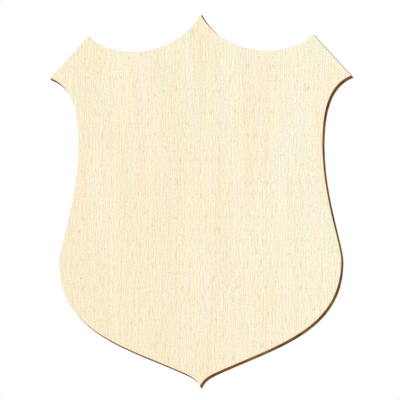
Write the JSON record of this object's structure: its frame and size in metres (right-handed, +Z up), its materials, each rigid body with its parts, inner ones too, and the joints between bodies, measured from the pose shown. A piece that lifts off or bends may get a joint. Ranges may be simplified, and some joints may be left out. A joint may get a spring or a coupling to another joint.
{
  "type": "heraldic shield plaque",
  "caption": "Flat heraldic shield plaque cut from pale plywood, with a bare face and a scorched edge, fixed by its flat back.",
  "frame": {"origin": "middle of the flat back face, on the shield's centreline and half way up it", "axes": "+Z up the shield to its peak, -Y out of its face towards the viewer, +X to the right as the face is seen"},
  "size_m": [0.0648, 0.004, 0.08],
  "materials": {
    "plywood": "bare, sanded, laser-cut edge scorched brown"
  },
  "bodies": {
    "root": {"shield_board": "plywood"}
  },
  "joints": []
}
